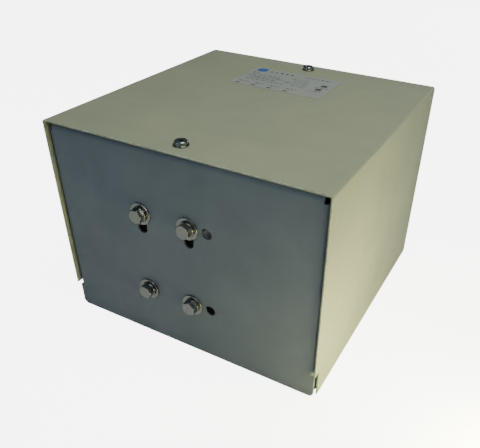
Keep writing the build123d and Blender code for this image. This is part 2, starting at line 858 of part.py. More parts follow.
def knob_pointer(depth):
    """Index bars let into the knob's face and skirt."""
    half = index_width / 2
    face_bar = block(index_start, knob_tip_r - index_end_gap, knob_end - depth, knob_end, -half, half)
    rim = knob_y + knob_skirt_height
    skirt_bar = block(knob_grip_r + nest_gap, knob_skirt_r - index_rim_gap, rim - depth, rim,
                      -half, half)
    return [face_bar, skirt_bar]


def make_knob():
    """Moulded knob: a flat skirt and a tapered grip with flutes."""
    body = rod_y(0, 0, knob_y, knob_y + knob_skirt_height, knob_skirt_r)
    body = chamfer(body.edges().filter_by(GeomType.CIRCLE).sort_by(Axis.Y)[-1:], knob_edge_chamfer)
    grip_height = knob_height - knob_skirt_height
    grip_mid = knob_y + knob_skirt_height + grip_height / 2
    grip = Pos(0, grip_mid, 0) * Rot(-90, 0, 0) * Cone(knob_grip_r, knob_tip_r, grip_height)
    grip = fillet(grip.edges().filter_by(GeomType.CIRCLE).sort_by(Axis.Y)[-1:], knob_tip_round)
    for index in range(knob_flutes):
        flute = rod_y(knob_grip_r + knob_flute_shift, 0, knob_y + knob_skirt_height, knob_end + 1,
                      knob_flute_r)
        grip -= spin(flute, (index + 0.5) * 360 / knob_flutes)
    body += grip
    body -= rod_y(0, 0, knob_y - 1, knob_y + knob_bore_depth, shaft_r + press_gap)
    for bar in knob_pointer(index_depth):
        body -= bar
    body -= knob_screw_shape(seat_gap, knob_grip_r)
    return on_axis(spin(body, index_start_deg))


def knob_screw_shape(gap, reach):
    """Radial set screw on the side away from the pointer."""
    y = knob_y + knob_skirt_height + knob_screw_rise
    length = reach - shaft_r
    return Pos(-(shaft_r + length / 2), y, 0) * Rot(0, 90, 0) * Cylinder(set_screw_r + gap, length)


def make_knob_index():
    return group(on_axis(spin(bar, index_start_deg)) for bar in knob_pointer(index_depth))


def knob_screw():
    y = knob_y + knob_skirt_height + knob_screw_rise
    socket = Pos(-knob_screw_reach, y, 0) * Rot(0, 90, 0) * Cylinder(set_screw_r / 2, 2 * set_screw_r)
    return on_axis(spin(knob_screw_shape(0, knob_screw_reach) - socket, index_start_deg))


def entry_heights():
    return (entry_low_z, entry_low_z + entry_spacing)


def make_entries():
    """Insulated bushings that line the two cable holes."""
    entries = []
    start = back_y + entry_flange - entry_length
    for z in entry_heights():
        body = rod_y(entry_x, z, start, back_y, entry_body_r)
        rim = rod_y(entry_x, z, back_y, back_y + entry_flange, entry_flange_r)
        body += fillet(rim.edges().filter_by(GeomType.CIRCLE).sort_by(Axis.Y)[-1:], entry_round)
        body -= rod_y(entry_x, z, start - 1, back_y + entry_flange + 1, entry_bore_r)
        entries.append(body)
    return group(entries)


def make_entry_nuts():
    y0 = back_in - entry_nut_thickness
    return group(nut_y(entry_x, z, y0, entry_nut_af, entry_nut_thickness, entry_body_r + seat_gap)
                 for z in entry_heights())


# ---- terminal board, on the casting's ear ----
def tab_heights():
    return [axis_z + (i - 1) * tab_spacing for i in range(3)]


board_face = base_back + board_thickness
tab_face = board_face + tab_thickness


def make_board():
    x = board_x()
    body = block(x - board_width / 2, x + board_width / 2, base_back, board_face,
                 axis_z - board_height / 2, axis_z + board_height / 2)
    for side in (-1, 1):
        body -= rod_y(x, axis_z + side * board_screw_reach(), base_back - 1, board_face + 1,
                      clamp_screw_r + seat_gap)
    for z in tab_heights():
        body -= rod_y(x, z, base_back - 1, board_face + 1, tab_screw_r + seat_gap)
    return body


def make_board_screws():
    screws = []
    for side in (-1, 1):
        z = axis_z + side * board_screw_reach()
        screws.append(screw_y(board_x(), z, base_front, board_face,
                              clamp_screw_r, tab_head_r, clamp_head_height))
    return group(screws)


def make_tabs():
    x = board_x()
    tabs = []
    for z in tab_heights():
        tab = block(x - tab_width / 2, x + tab_width / 2, board_face, tab_face,
                    z - tab_height / 2, z + tab_height / 2)
        tabs.append(tab - rod_y(x, z, board_face - 1, tab_face + 1, tab_screw_r + seat_gap))
    return group(tabs)


def make_tab_screws():
    under = tab_face + lug_thickness
    tip = base_back + nest_gap
    return group(screw_y(board_x(), z, tip, under, tab_screw_r, tab_head_r, tab_head_height)
                 for z in tab_heights())


# ---- terminal block on the floor ----
floor_z = chassis_sheet
block_top = floor_z + block_base_height
pole_top = block_top + tab_thickness


def pole_ys():
    first = block_y - (block_poles - 1) * block_pitch / 2
    return [first + i * block_pitch for i in range(block_poles)]


def make_block():
    """Moulded strip with a wall between neighbouring poles."""
    half_length = block_screw_ys()[1] - block_y + block_ear / 2
    half = block_width / 2
    body = block(block_x - half, block_x + half, block_y - half_length, block_y + half_length,
                 floor_z, floor_z + block_base_height / 2)
    inner_half = block_poles * block_pitch / 2 + block_barrier / 2
    body += block(block_x - half, block_x + half, block_y - inner_half, block_y + inner_half,
                  floor_z, block_top)
    for i in range(block_poles + 1):
        y = block_y + (i - block_poles / 2) * block_pitch
        body += block(block_x - half, block_x + half, y - block_barrier / 2, y + block_barrier / 2,
                      block_top, block_top + block_barrier_height)
    for y in block_screw_ys():
        body -= rod_z(block_x, y, 0, block_top + 1, block_screw_r + seat_gap)
    for x, y in pole_screw_places():
        body -= rod_z(x, y, floor_z + block_blind, block_top + 1, tab_screw_r + seat_gap)
    return body


def pole_screw_places():
    reach = pole_screw_spacing / 2
    return [(block_x + side * reach, y) for side in (-1, 1) for y in pole_ys()]


def make_pole_plates():
    plates = []
    for y in pole_ys():
        plate = block(block_x - pole_plate_width / 2, block_x + pole_plate_width / 2,
                      y - pole_plate_depth / 2, y + pole_plate_depth / 2, block_top, pole_top)
        for side in (-1, 1):
            plate -= rod_z(block_x + side * pole_screw_spacing / 2, y, 0, 50, tab_screw_r + seat_gap)
        plates.append(plate)
    return group(plates)


def make_pole_screws():
    """Wire screws; those on the outer row sit on a lug, the others on the plate."""
    screws = []
    for x, y in pole_screw_places():
        under = pole_top + (lug_thickness if x > block_x else 0)
        screws.append(screw_z(x, y, floor_z + block_blind + clear_gap, under,
                              tab_screw_r, tab_head_r, tab_head_height))
    return group(screws)


def make_block_screws():
    ear_top = floor_z + block_base_height / 2
    return group(screw_z(block_x, y, nest_gap, ear_top, block_screw_r, clamp_head_r, clamp_head_height)
                 for y in block_screw_ys())


# ---- earth stud ----
stud_head_r = stud_nut_af / math.sqrt(3)
stud_x = chassis_half - stud_side_inset
stud_y = back_in - stud_inset


def make_stud():
    return rod_z(stud_x, stud_y, floor_z, floor_z + stud_height, stud_r)


def make_stud_nuts():
    nuts = []
    for z in (floor_z, floor_z + stud_nut_thickness + lug_thickness):
        nut = Pos(stud_x, stud_y, z) * hex_up(stud_nut_af, stud_nut_thickness)
        nuts.append(nut - rod_z(stud_x, stud_y, z - 1, z + stud_nut_thickness + 1, stud_r + seat_gap))
    return group(nuts)


# ---- leads and lugs ----
def lug(hole_r, head_r):
    """Ring lug lying on z=0 with its barrel along +X, clear of the screw or nut head."""
    barrel_start = head_r + lug_head_gap
    barrel_end = barrel_start + lug_barrel_length
    body = tube_z(0, 0, 0, lug_thickness, head_r + lug_rim, hole_r + seat_gap)
    body += block(hole_r + lug_rim, barrel_start + 1, -lug_tongue / 2, lug_tongue / 2, 0, lug_thickness)
    place = Pos((barrel_start + barrel_end) / 2, 0, lug_barrel_r) * Rot(0, 90, 0)
    barrel = place * Cylinder(lug_barrel_r, lug_barrel_length)
    bore = Pos(barrel_end - lug_bore / 2, 0, lug_barrel_r) * Rot(0, 90, 0)
    return body + barrel - bore * Cylinder(lead_r + press_gap, lug_bore)


def lug_reach(head_r):
    """From a lug's ring centre to the end of the wire in its barrel."""
    return head_r + lug_head_gap + lug_barrel_length - lug_bore


def make_lugs():
    """Lugs on the tabs, the outer pole screws and the earth stud."""
    lugs = []
    for z in tab_heights():
        lugs.append(Pos(board_x(), tab_face, z) * Rot(-90, 0, 0) * lug(tab_screw_r, tab_head_r))
    for y in pole_ys():
        lugs.append(Pos(block_x + pole_screw_spacing / 2, y, pole_top) * lug(tab_screw_r, tab_head_r))
    earth = Rot(0, 0, -90) * lug(stud_r, stud_head_r)
    lugs.append(Pos(stud_x, stud_y, floor_z + stud_nut_thickness) * earth)
    return group(lugs)


def make_supply_leads():
    """Three leads from the board, down beside the case wall and back to the block."""
    y_wire = tab_face + lug_barrel_r
    z_wire = pole_top + lug_barrel_r
    tab_end = board_x() + lug_reach(tab_head_r)
    pole_end = block_x + pole_screw_spacing / 2 + lug_reach(tab_head_r)
    leads = {}
    for index, name in enumerate(("line_lead", "neutral_lead", "output_lead")):
        z = tab_heights()[index]
        x = pole_end + lane_start + index * lane_gap
        y = pole_ys()[index]
        route = [(tab_end, y_wire, z), (x, y_wire, z), (x, y_wire, z_wire),
                 (x, y, z_wire), (pole_end, y, z_wire)]
        leads[name] = lead(name, route, lead_r)
    return leads


def make_earth_lead():
    """From the last pole, round beside the wall and down to the earth stud."""
    z_wire = pole_top + lug_barrel_r
    low = floor_z + stud_nut_thickness + lug_barrel_r
    start = block_x + pole_screw_spacing / 2 + lug_reach(tab_head_r)
    end_y = stud_y - lug_reach(stud_head_r)
    y = pole_ys()[-1]
    route = [(start, y, z_wire), (stud_x, y, z_wire), (stud_x, y + earth_drop_y, z_wire - earth_drop_z),
             (stud_x, end_y - earth_lie, low), (stud_x, end_y, low)]
    return lead("earth_lead", route, lead_r)


def contact_screw_x():
    """Screw through the contact spring's foot, measured from the control axis."""
    return collector_r + contact_gap + contact_foot - contact_screw_inset


def make_contact_spring():
    """Bent strip: a foot on the casting and a blade against the collector."""
    blade_x = collector_r + contact_gap
    half = contact_width / 2
    under = base_front - contact_sheet
    foot = block(blade_x, blade_x + contact_foot, under, base_front, -half, half)
    foot -= rod_y(contact_screw_x(), 0, under - 1, base_front + 1, contact_screw_r + seat_gap)
    end = base_front - hub_play - collector_length
    blade = block(blade_x, blade_x + contact_sheet, end, under, -half, half)
    return on_axis(foot + blade)


def make_contact_screw():
    x = contact_screw_x()
    under = base_front - contact_sheet
    screw = rod_y(x, 0, under, base_front + contact_screw_grip, contact_screw_r)
    screw += rod_y(x, 0, under - contact_head_height, under, contact_head_r)
    return on_axis(screw)


def make_brush_lead():
    """From the contact spring, round the casting's ear and onto the top tab."""
    y_front = panel_in + boss_height / 2
    top = axis_z + ear_height / 2 + brush_lead_crest
    x_tab = board_x() - tab_head_r - tap_r - clear_gap
    foot_x = axis_x + collector_r + contact_gap + contact_foot - brush_lead_foot
    foot_y = base_front - contact_sheet - tap_r
    y_tab = tab_face + tap_r
    tab_top = tab_heights()[-1] + tab_height / 2
    route = [(foot_x, foot_y, axis_z), (foot_x + brush_lead_run, y_front, axis_z),
             (x_tab - brush_lead_side, y_front, axis_z + brush_lead_lift), (x_tab - tap_r, y_front, top),
             (x_tab, y_tab, top), (x_tab, y_tab, tab_top - brush_lead_lap)]
    return lead("brush_lead", route, tap_r)


def make_tap_leads():
    """Ends of the winding, brought out of the gap to the first two tabs."""
    y_out = winding_front + tap_depth
    y_tab = tab_face + tap_r
    r = winding_outer_r - wire_layer / 2
    edge = board_x() - tab_width / 2 + tap_lap
    taps = []
    for sign, z_tab in ((-1, tab_heights()[0]), (1, tab_heights()[1])):
        angle = math.radians(winding_gap_deg / 2) * tap_angle_share
        x, z = axis_x + r * math.cos(angle), axis_z + sign * r * math.sin(angle)
        route = [(x, y_out, z), (x + tap_run, y_out, z - sign * tap_drift),
                 (edge - tap_lie, y_tab, z_tab + sign * tap_lie_drift), (edge, y_tab, z_tab)]
        taps.append(lead("winding_tap", route, tap_r))
    return group(taps)


nodes = {
    "mounting_panel": make_mounting_panel(),
    "control_panel": make_control_panel(),
    "floor_pan": make_floor_pan(),
    "cover": make_cover(),
    "cover_screws": make_cover_screws(),
    "cover_clip_nuts": make_clip_nuts(),
    "rating_label": make_label(),
    "flat_washers": make_flat_washers(),
    "lock_washers": make_lock_washers(),
    "mounting_bolts": make_bolts(),
    "transformer_base": make_base(),
    "base_insulator": make_insulator(),
    "core": make_core(),
    "core_caps": make_core_caps(),
    "winding": make_winding(),
    "brush_track": make_track(),
    "clamp_plate": make_clamp(),
    "clamp_screws": make_clamp_screws(),
    "stop_pins": make_stop_pins(),
    "front_bush": make_front_bush(),
    "back_bush": make_back_bush(),
    "shaft": make_shaft(),
    "collector_ring": make_collector(),
    "contact_spring": make_contact_spring(),
    "contact_screw": make_contact_screw(),
    "brush_arm": make_arm(),
    "brush_holder": make_holder(),
    "brush_holder_cap": make_holder_cap(),
    "carbon_brush": make_brush(),
    "brush_spring": make_brush_spring(),
    "shaft_coupling": make_coupling(),
    "set_screws": make_set_screws(),
    "extension_shaft": make_extension(),
    "panel_bushing": make_bushing(),
    "bushing_nut": make_bushing_nut(),
    "dial_plate": make_dial(),
    "dial_screws": make_dial_screws(),
    "dial_nuts": make_dial_nuts(),
    "knob": make_knob(),
    "knob_index": make_knob_index(),
    "cable_bushings": make_entries(),
    "cable_bushing_nuts": make_entry_nuts(),
    "terminal_board": make_board(),
    "board_screws": make_board_screws(),
    "winding_terminals": make_tabs(),
    "winding_terminal_screws": make_tab_screws(),
    "winding_tap_leads": make_tap_leads(),
    "terminal_block": make_block(),
    "block_terminals": make_pole_plates(),
    "block_terminal_screws": make_pole_screws(),
    "block_mounting_screws": make_block_screws(),
    "earth_stud": make_stud(),
    "earth_nuts": make_stud_nuts(),
    "lead_lugs": make_lugs(),
    "earth_lead": make_earth_lead(),
    "brush_lead": make_brush_lead(),
}
nodes.update(make_supply_leads())

os.makedirs("parts", exist_ok=True)
for node, shape in nodes.items():
    export_step(shape, f"parts/{node}.step")
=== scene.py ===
import json
import math
import random

import bmesh
import bpy
from mathutils import Matrix, Vector


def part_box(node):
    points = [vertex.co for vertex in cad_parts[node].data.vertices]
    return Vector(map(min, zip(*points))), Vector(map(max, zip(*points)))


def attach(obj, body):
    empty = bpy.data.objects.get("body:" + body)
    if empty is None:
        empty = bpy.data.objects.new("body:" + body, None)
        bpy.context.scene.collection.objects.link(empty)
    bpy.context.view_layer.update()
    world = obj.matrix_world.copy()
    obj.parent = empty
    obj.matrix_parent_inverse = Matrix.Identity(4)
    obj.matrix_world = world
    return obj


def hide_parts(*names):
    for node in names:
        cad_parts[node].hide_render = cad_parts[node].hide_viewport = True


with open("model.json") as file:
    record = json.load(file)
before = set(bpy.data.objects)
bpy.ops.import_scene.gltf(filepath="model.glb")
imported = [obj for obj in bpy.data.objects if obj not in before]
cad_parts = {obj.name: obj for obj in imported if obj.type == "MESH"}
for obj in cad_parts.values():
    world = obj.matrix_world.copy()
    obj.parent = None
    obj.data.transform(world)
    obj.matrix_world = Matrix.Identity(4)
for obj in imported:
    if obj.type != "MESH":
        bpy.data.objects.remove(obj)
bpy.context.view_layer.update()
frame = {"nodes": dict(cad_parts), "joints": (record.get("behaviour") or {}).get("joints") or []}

# ---- Camera ----
# Stands in front of the bolted panel, to its right and above the cover, and looks down at the
# near upper corner. The shift slides the picture, so the object sits off its middle.
camera_data = bpy.data.cameras.new("camera")
camera_data.sensor_width = 36.0
camera_data.lens = 41.27
camera_data.shift_x = -0.0594
camera_data.shift_y = 0.0594
camera_data.clip_start = 0.01
camera = bpy.data.objects.new("camera", camera_data)
camera_right = Vector((0.8801, 0.4744, 0.0205))
camera_down = Vector((0.2844, -0.4920, -0.8228))
camera_ahead = Vector((-0.3803, 0.7300, -0.5679))
turn = Matrix((camera_right, -camera_down, -camera_ahead)).transposed()
camera.matrix_world = Matrix.Translation((0.1924, -0.3443, 0.2960)) @ turn.to_4x4()
bpy.context.scene.collection.objects.link(camera)
bpy.context.scene.camera = camera


# ---- Studio: floor and soft lights ----
# A pale matt table top that stays bright in view, warm light low from the right, a soft light from
# above, weak cool fills in front and behind, and a small bright lamp that glints on metal edges.
def node(tree, kind, sockets=None, **settings):
    """Adds a shader or geometry node. Sockets take a value or another node's output."""
    made = tree.nodes.new(kind)
    for key, value in settings.items():
        setattr(made, key, value)
    for key, value in (sockets or {}).items():
        if isinstance(value, bpy.types.NodeSocket):
            tree.links.new(value, made.inputs[key])
        else:
            made.inputs[key].default_value = value
    return made


floor_mesh = bpy.data.meshes.new("floor")
floor_half = 4.0
floor_mesh.from_pydata([(-floor_half, -floor_half, 0), (floor_half, -floor_half, 0),
                        (floor_half, floor_half, 0), (-floor_half, floor_half, 0)], [], [(0, 1, 2, 3)])
floor = bpy.data.objects.new("floor", floor_mesh)
bpy.context.scene.collection.objects.link(floor)
floor_paint = bpy.data.materials.new("floor_paint")
floor_paint.use_nodes = True
floor_shader = floor_paint.node_tree.nodes["Principled BSDF"]
floor_shader.inputs["Base Color"].default_value = (0.90, 0.90, 0.89, 1)
floor_shader.inputs["Roughness"].default_value = 0.8
floor_shader.inputs["Emission Color"].default_value = (1.0, 1.0, 0.98, 1)
seen = node(floor_paint.node_tree, "ShaderNodeLightPath")
floor_glow = 6.0
lift = node(floor_paint.node_tree, "ShaderNodeMapRange", {"Value": seen.outputs["Is Camera Ray"],
                                                          "To Max": floor_glow})
floor_paint.node_tree.links.new(lift.outputs[0], floor_shader.inputs["Emission Strength"])
floor_mesh.materials.append(floor_paint)

world = bpy.data.worlds.new("studio")
world.use_nodes = True
sky = world.node_tree.nodes["Background"]
sky.inputs["Color"].default_value = (0.62, 0.82, 1.0, 1)
sky_light, sky_in_view = 0.16, 1.2
looked_at = node(world.node_tree, "ShaderNodeLightPath")
glow = node(world.node_tree, "ShaderNodeMapRange", {"Value": looked_at.outputs["Is Camera Ray"],
                                                    "To Min": sky_light, "To Max": sky_in_view})
world.node_tree.links.new(glow.outputs[0], sky.inputs["Strength"])
bpy.context.scene.world = world


def soft_light(name, place, target, size, watts, colour):
    """Square area light that faces its target."""
    light = bpy.data.lights.new(name, "AREA")
    light.size = size
    light.energy = watts
    light.color = colour
    lamp = bpy.data.objects.new(name, light)
    lamp.location = place
    lamp.rotation_euler = (Vector(target) - Vector(place)).to_track_quat("-Z", "Y").to_euler()
    lamp.visible_camera = False
    bpy.context.scene.collection.objects.link(lamp)


soft_light("window", (0.70, 0.02, 0.30), (0, 0, 0.08), 0.30, 0.25, (1.0, 0.93, 0.30))
soft_light("low_window", (0.23, -0.11, 0.02), (0.1, -0.09, 0.03), 0.10, 0.9, (1.0, 0.95, 0.42))
soft_light("overhead", (0.24, -0.08, 0.78), (0, 0, 0.12), 0.40, 4.5, (1.0, 1.0, 0.90))
soft_light("fill", (-0.6, -1.5, 0.6), (0, 0, 0.08), 0.8, 3.7, (0.60, 0.76, 1.0))
soft_light("back_fill", (0.2, 1.4, 0.10), (0, 0, 0.08), 0.2, 2.6, (0.90, 0.95, 1.0))
soft_light("spark", (0.22, -0.40, 0.34), (0, -0.1, 0.08), 0.03, 0.10, (1.0, 1.0, 1.0))


# ---- Cover ----
# Top and two sides folded from 1.2 mm steel, sprayed with satin grey-green enamel over primer.
# The enamel has a fine orange-peel skin and is rubbed thin along the folds and cut edges.
def group_tree(name, inputs, outputs):
    """A shader node group with named sockets; each input is (name, kind, default)."""
    tree = bpy.data.node_groups.new(name, "ShaderNodeTree")
    for label, kind, default in inputs:
        socket = tree.interface.new_socket(label, in_out="INPUT", socket_type=kind)
        socket.default_value = default
    for label, kind in outputs:
        tree.interface.new_socket(label, in_out="OUTPUT", socket_type=kind)
    return tree, node(tree, "NodeGroupInput"), node(tree, "NodeGroupOutput")


def math_node(tree, operation, a, b=0.0):
    return node(tree, "ShaderNodeMath", {0: a, 1: b}, operation=operation).outputs[0]


def mix_colour(tree, factor, a, b):
    mixed = node(tree, "ShaderNodeMix", data_type="RGBA")
    for key, value in ((0, factor), (6, a), (7, b)):
        if isinstance(value, bpy.types.NodeSocket):
            tree.links.new(value, mixed.inputs[key])
        else:
            mixed.inputs[key].default_value = value
    return mixed.outputs[2]


def make_skin_group():
    """Tone that drifts, specks, a fine grain, and long hairline scratches."""
    tree, given, result = group_tree(
        "surface_skin",
        [("Colour", "NodeSocketColor", (0.5, 0.5, 0.5, 1)),
         ("Second colour", "NodeSocketColor", (0.4, 0.4, 0.4, 1)),
         ("Speck colour", "NodeSocketColor", (0.1, 0.1, 0.1, 1)), ("Speck share", "NodeSocketFloat", 0.1),
         ("Grain scale", "NodeSocketFloat", 900.0), ("Grain depth", "NodeSocketFloat", 0.00002),
         ("Smooth", "NodeSocketFloat", 0.3), ("Rough", "NodeSocketFloat", 0.5),
         ("Scratch depth", "NodeSocketFloat", 0.0)],
        [("Colour", "NodeSocketColor"), ("Roughness", "NodeSocketFloat"), ("Normal", "NodeSocketVector")])
    rarest_speck, speck_reach, speck_strength = 0.82, 0.35, 0.7
    hair_cut, hair_roughness = 0.70, 0.06
    place = node(tree, "ShaderNodeTexCoord").outputs["Object"]
    drift = node(tree, "ShaderNodeTexNoise", {"Vector": place, "Scale": 22.0,
                                              "Detail": 5.0, "Roughness": 0.6})
    drift_share = node(tree, "ShaderNodeMapRange", {"Value": drift.outputs["Fac"],
                                                    "From Min": 0.35, "From Max": 0.65})
    tone = mix_colour(tree, drift_share.outputs[0], given.outputs["Colour"],
                      given.outputs["Second colour"])
    specks = node(tree, "ShaderNodeTexNoise", {"Vector": place, "Scale": 420.0, "Detail": 3.0})
    edge = math_node(tree, "SUBTRACT", rarest_speck,
                     math_node(tree, "MULTIPLY", given.outputs["Speck share"], speck_reach))
    speck = math_node(tree, "GREATER_THAN", specks.outputs["Fac"], edge)
    toned = mix_colour(tree, math_node(tree, "MULTIPLY", speck, speck_strength), tone,
                       given.outputs["Speck colour"])
    grain = node(tree, "ShaderNodeTexNoise", {"Vector": place, "Scale": given.outputs["Grain scale"],
                                              "Detail": 3.0, "Roughness": 0.55})
    stretch = node(tree, "ShaderNodeMapping", {"Vector": place, "Rotation": (0.5, 0.35, 0.6),
                                               "Scale": (40.0, 900.0, 900.0)})
    hairs = node(tree, "ShaderNodeTexNoise", {"Vector": stretch.outputs[0], "Scale": 1.0, "Detail": 2.0})
    hair = math_node(tree, "GREATER_THAN", hairs.outputs["Fac"], hair_cut)
    rough = node(tree, "ShaderNodeMapRange",
                 {"Value": drift.outputs["Fac"], "From Min": 0.3, "From Max": 0.7,
                  "To Min": given.outputs["Smooth"], "To Max": given.outputs["Rough"]})
    rougher = math_node(tree, "ADD", rough.outputs[0], math_node(tree, "MULTIPLY", hair, hair_roughness))
    scratch = node(tree, "ShaderNodeBump", {"Height": hair, "Distance": given.outputs["Scratch depth"]},
                   invert=True)
    bump = node(tree, "ShaderNodeBump", {"Height": grain.outputs["Fac"], "Normal": scratch.outputs[0],
                                         "Distance": given.outputs["Grain depth"]})
    tree.links.new(toned, result.inputs["Colour"])
    tree.links.new(rougher, result.inputs["Roughness"])
    tree.links.new(bump.outputs[0], result.inputs["Normal"])
    return tree


def make_edge_group():
    """Ragged band along the edges of a box-shaped piece: 1 on its edges, 0 away from them."""
    tree, given, result = group_tree(
        "edge_rub",
        [("Centre", "NodeSocketVector", (0, 0, 0)), ("Half size", "NodeSocketVector", (0.1, 0.1, 0.1)),
         ("Width", "NodeSocketFloat", 0.001)],
        [("Mask", "NodeSocketFloat")])
    place = node(tree, "ShaderNodeTexCoord").outputs["Object"]
    offset = node(tree, "ShaderNodeVectorMath", {0: place, 1: given.outputs["Centre"]},
                  operation="SUBTRACT")
    spread = node(tree, "ShaderNodeVectorMath", {0: offset.outputs[0]}, operation="ABSOLUTE")
    inside = node(tree, "ShaderNodeVectorMath", {0: given.outputs["Half size"], 1: spread.outputs[0]},
                  operation="SUBTRACT")
    depth = node(tree, "ShaderNodeSeparateXYZ", {0: inside.outputs[0]})
    x, y, z = depth.outputs
    near_edge = math_node(tree, "MAXIMUM", math_node(tree, "MINIMUM", x, y),
                          math_node(tree, "MINIMUM", math_node(tree, "MAXIMUM", x, y), z))
    ragged = node(tree, "ShaderNodeTexNoise", {"Vector": place, "Scale": 260.0,
                                               "Detail": 6.0, "Roughness": 0.7})
    reach = node(tree, "ShaderNodeMapRange", {"Value": ragged.outputs["Fac"], "From Min": 0.42,
                                              "From Max": 0.75, "To Min": 0.0, "To Max": 1.0})
    limit = math_node(tree, "MULTIPLY", reach.outputs[0], given.outputs["Width"])
    mask = math_node(tree, "LESS_THAN", near_edge, limit)
    tree.links.new(mask, result.inputs["Mask"])
    return tree


skin_group = make_skin_group()
edge_group = make_edge_group()


def finish_material(name, colour, second, speck, speck_share, grain, smooth, rough, metallic=0.0,
                    scratch=0.0, rub=None, coat=0.0):
    """Principled surface over the skin group. It drifts between colour and second, with specks.
    grain is (scale, depth); rub is (centre, half size, width, colour)."""
    material = bpy.data.materials.new(name)
    material.use_nodes = True
    tree = material.node_tree
    shader = tree.nodes["Principled BSDF"]
    skin = node(tree, "ShaderNodeGroup", node_tree=skin_group)
    values = {"Colour": (*colour, 1), "Second colour": (*second, 1), "Speck colour": (*speck, 1),
              "Speck share": speck_share, "Grain scale": grain[0], "Grain depth": grain[1],
              "Smooth": smooth, "Rough": rough, "Scratch depth": scratch}
    for key, value in values.items():
        skin.inputs[key].default_value = value
    tone = skin.outputs["Colour"]
    if rub:
        centre, half, width, under = rub
        worn = node(tree, "ShaderNodeGroup", node_tree=edge_group)
        worn.inputs["Centre"].default_value = centre
        worn.inputs["Half size"].default_value = half
        worn.inputs["Width"].default_value = width
        tone = mix_colour(tree, worn.outputs["Mask"], tone, (*under, 1))
    tree.links.new(tone, shader.inputs["Base Color"])
    tree.links.new(skin.outputs["Roughness"], shader.inputs["Roughness"])
    tree.links.new(skin.outputs["Normal"], shader.inputs["Normal"])
    shader.inputs["Metallic"].default_value = metallic
    shader.inputs["Coat Weight"].default_value = coat
    return material


def paint_node(name, material):
    """Gives a CAD piece that keeps its shape its finish."""
    for place in frame["nodes"][name].material_slots:
        place.material = material


def settle(piece):
    """Applies a piece's modifiers, so that it is a plain mesh."""
    bpy.context.view_layer.update()
    graph = bpy.context.evaluated_depsgraph_get()
    mesh = bpy.data.meshes.new_from_object(piece.evaluated_get(graph), depsgraph=graph)
    piece.modifiers.clear()
    piece.data = mesh
    return piece


def eased(source, name, edge, material, body, smooth_angle=34.0, segments=2):
    """A CAD piece with its triangles joined up and its sharp edges broken by a small radius."""
    shape = bmesh.new()
    shape.from_mesh(frame["nodes"][source].data)
    join_distance, flat_angle = 2e-6, math.radians(0.6)
    bmesh.ops.remove_doubles(shape, verts=shape.verts[:], dist=join_distance)
    bmesh.ops.dissolve_limit(shape, angle_limit=flat_angle, verts=shape.verts[:], edges=shape.edges[:])
    mesh = bpy.data.meshes.new(name)
    shape.to_mesh(mesh)
    shape.free()
    for attribute in [a for a in mesh.attributes if "normal" in a.name]:
        mesh.attributes.remove(attribute)
    mesh.materials.clear()
    mesh.materials.append(material)
    mesh.polygons.foreach_set("material_index", [0] * len(mesh.polygons))
    mesh.shade_smooth()
    mesh.set_sharp_from_angle(angle=math.radians(smooth_angle))
    piece = bpy.data.objects.new(name, mesh)
    bpy.context.scene.collection.objects.link(piece)
    bevel = piece.modifiers.new("edge", "BEVEL")
    bevel.width = edge
    bevel.segments = segments
    bevel.limit_method = "ANGLE"
    bevel.angle_limit = math.radians(smooth_angle)
    bevel.use_clamp_overlap = True
    weigh = piece.modifiers.new("normals", "WEIGHTED_NORMAL")
    weigh.keep_sharp = False
    settle(piece)
    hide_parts(source)
    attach(piece, body)
    return piece


cover_low, cover_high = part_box("cover")
cover_centre = (cover_low + cover_high) / 2
cover_half = (cover_high - cover_low) / 2
rub_width = 0.0009
cover_enamel = finish_material(
    "cover_enamel", (0.285, 0.305, 0.205), (0.255, 0.275, 0.190), (0.15, 0.16, 0.11), 0.12,
    (1500.0, 0.000012), 0.34, 0.46, scratch=0.000002,
    rub=(cover_centre, cover_half, rub_width, (0.46, 0.48, 0.38)))
eased("cover", "cover_shell", 0.00025, cover_enamel, "cover")


# ---- Panels and floor pan ----
# Two flanged panels and a shallow tray between them, folded from 1.5 mm sheet and spot-welded, in the
# same kind of enamel as the cover. Their darker, bluer slate grey is painted shade and painted cool
# light, as seen on the shaded front face. The rub marks follow each piece's own edges.
for sheet_node in ("mounting_panel", "control_panel", "floor_pan"):
    sheet_low, sheet_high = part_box(sheet_node)
    # Painted shade: this slate colour is darker and bluer than the cover's paint, standing in for the
    # shade and cool light on the front.
    sheet_enamel_with_painted_shade = finish_material(
        f"{sheet_node}_enamel", (0.116, 0.140, 0.156), (0.102, 0.123, 0.137), (0.06, 0.07, 0.07), 0.14,
        (1500.0, 0.000012), 0.36, 0.50, scratch=0.000002,
        rub=((sheet_low + sheet_high) / 2, (sheet_high - sheet_low) / 2, rub_width, (0.30, 0.32, 0.31)))
    eased(sheet_node, f"{sheet_node}_shell", 0.00022, sheet_enamel_with_painted_shade, "case")


# ---- Panel bolts and washers ----
# Quarter-inch hex bolts, split washers and flat washers in bright zinc, slightly yellow where the
# passivate is thick; the heads are forged, so their corners are soft.
zinc = finish_material("bright_zinc", (0.27, 0.27, 0.24), (0.23, 0.24, 0.245), (0.14, 0.13, 0.09), 0.16,
                       (2600.0, 0.000006), 0.16, 0.30, metallic=1.0, scratch=0.000004)
eased("mounting_bolts", "bolt_heads", 0.00035, zinc, "case", segments=3)
eased("lock_washers", "spring_washers", 0.0003, zinc, "case")
eased("flat_washers", "wide_washers", 0.00035, zinc, "case")


# ---- Cover screws ----
# Pan-head machine screws with a washer face and a cross slot, driven into spring-steel clips
# on the flanges of the two panels.
eased("cover_screws", "cover_screw_heads", 0.00015, zinc, "cover")
spring_clip = finish_material("black_spring_steel", (0.10, 0.10, 0.11), (0.15, 0.14, 0.13),
                              (0.25, 0.16, 0.10), 0.2, (1800.0, 0.00001), 0.35, 0.55, metallic=0.9)
paint_node("cover_clip_nuts", spring_clip)


